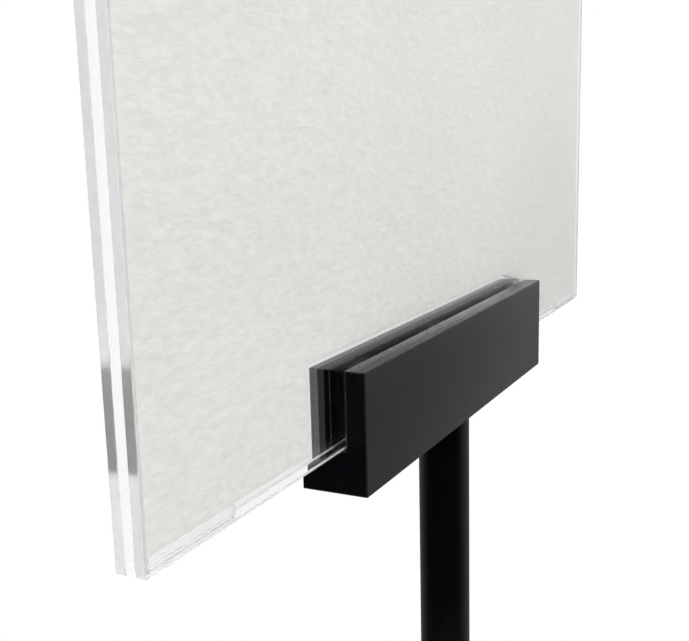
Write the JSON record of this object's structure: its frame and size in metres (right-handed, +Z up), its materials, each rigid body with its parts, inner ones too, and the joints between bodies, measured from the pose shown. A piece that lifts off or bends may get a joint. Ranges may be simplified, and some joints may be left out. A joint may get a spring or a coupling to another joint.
{
  "type": "sign stand",
  "caption": "Floor-standing sign stand: a weighted round base, a slim pole and a slotted clamp bar gripping clear panes around a notched insert board.",
  "frame": {"origin": "on the floor, on the pole's axis, at the underside of the rubber pads", "axes": "+Z up along the pole, -Y towards the reader of the sign, +X along the clamp bar to the reader's right"},
  "size_m": [0.4318, 0.3048, 1.2255],
  "materials": {
    "base_powder_coat": "fine textured black powder coat",
    "pad_rubber": "matt",
    "zinc_steel": "zinc plated",
    "turned_steel": "turned",
    "pole_enamel": "satin black enamel",
    "black_nylon": "matt",
    "black_anodised": "satin black anodised",
    "strip_rubber": "matt",
    "clear_acrylic": "polished, clear",
    "embossed_board": "white board with a soft embossed relief",
    "black_oxide_steel": "black oxide",
    "natural_nylon": "satin",
    "brass_tip": "turned"
  },
  "bodies": {
    "stand": {"base_plate": "base_powder_coat", "base_pads": "pad_rubber", "base_bolt": "zinc_steel", "base_spring_washer": "zinc_steel", "base_flat_washer": "zinc_steel", "foot_plug": "turned_steel", "pole_tube": "pole_enamel", "head_plug": "turned_steel", "head_spigot": "turned_steel", "swivel_washer": "black_nylon"},
    "head": {"clamp_bar": "black_anodised", "slot_strip": "strip_rubber"},
    "front_pane": {"front_pane": "clear_acrylic"},
    "rear_pane": {"rear_pane": "clear_acrylic", "pane_spacers": "clear_acrylic", "insert_rests": "clear_acrylic"},
    "insert": {"insert_board": "embossed_board"},
    "left_tip": {"left_screw_tip": "natural_nylon"},
    "left_screw": {"left_screw": "black_oxide_steel"},
    "middle_tip": {"middle_screw_tip": "natural_nylon"},
    "middle_screw": {"middle_screw": "black_oxide_steel"},
    "right_tip": {"right_screw_tip": "natural_nylon"},
    "right_screw": {"right_screw": "black_oxide_steel"},
    "swivel_tip": {"swivel_screw_tip": "brass_tip"},
    "swivel_screw": {"swivel_screw": "black_oxide_steel"}
  },
  "joints": [
    {"name": "head_swivel", "type": "hinge", "parent": "stand", "child": "head", "pos_m": [0, 0, 0.9294], "axis": [0, 0, 1], "continuous": true},
    {"name": "front_pane_lift", "type": "slide", "parent": "head", "child": "front_pane", "axis": [0, 0, 1], "range_m": [0, 0.3]},
    {"name": "rear_pane_lift", "type": "slide", "parent": "head", "child": "rear_pane", "axis": [0, 0, 1], "range_m": [0, 0.3]},
    {"name": "insert_lift", "type": "slide", "parent": "rear_pane", "child": "insert", "axis": [0, 0, 1], "range_m": [0, 0.3]},
    {"name": "left_tip_slide", "type": "slide", "parent": "head", "child": "left_tip", "axis": [0, 1, 0], "range_m": [0, 0.0024]},
    {"name": "left_screw_turn", "type": "hinge", "parent": "left_tip", "child": "left_screw", "pos_m": [-0.0762, 0.0099, 0.95957], "axis": [0, 1, 0], "range_deg": [0, 1080]},
    {"name": "middle_tip_slide", "type": "slide", "parent": "head", "child": "middle_tip", "axis": [0, 1, 0], "range_m": [0, 0.0024]},
    {"name": "middle_screw_turn", "type": "hinge", "parent": "middle_tip", "child": "middle_screw", "pos_m": [0, 0.0099, 0.95957], "axis": [0, 1, 0], "range_deg": [0, 1080]},
    {"name": "right_tip_slide", "type": "slide", "parent": "head", "child": "right_tip", "axis": [0, 1, 0], "range_m": [0, 0.0024]},
    {"name": "right_screw_turn", "type": "hinge", "parent": "right_tip", "child": "right_screw", "pos_m": [0.0762, 0.0099, 0.95957], "axis": [0, 1, 0], "range_deg": [0, 1080]},
    {"name": "swivel_tip_slide", "type": "slide", "parent": "head", "child": "swivel_tip", "axis": [0, 1, 0], "range_m": [0, 0.0024]},
    {"name": "swivel_screw_turn", "type": "hinge", "parent": "swivel_tip", "child": "swivel_screw", "pos_m": [0, 0.0099, 0.93735], "axis": [0, 1, 0], "range_deg": [0, 1080]}
  ],
  "couplings": [
    {"joint": "left_screw_turn", "follows": "left_tip_slide", "rad_per_m": 7854},
    {"joint": "middle_screw_turn", "follows": "middle_tip_slide", "rad_per_m": 7854},
    {"joint": "right_screw_turn", "follows": "right_tip_slide", "rad_per_m": 7854},
    {"joint": "swivel_screw_turn", "follows": "swivel_tip_slide", "rad_per_m": 7854}
  ]
}
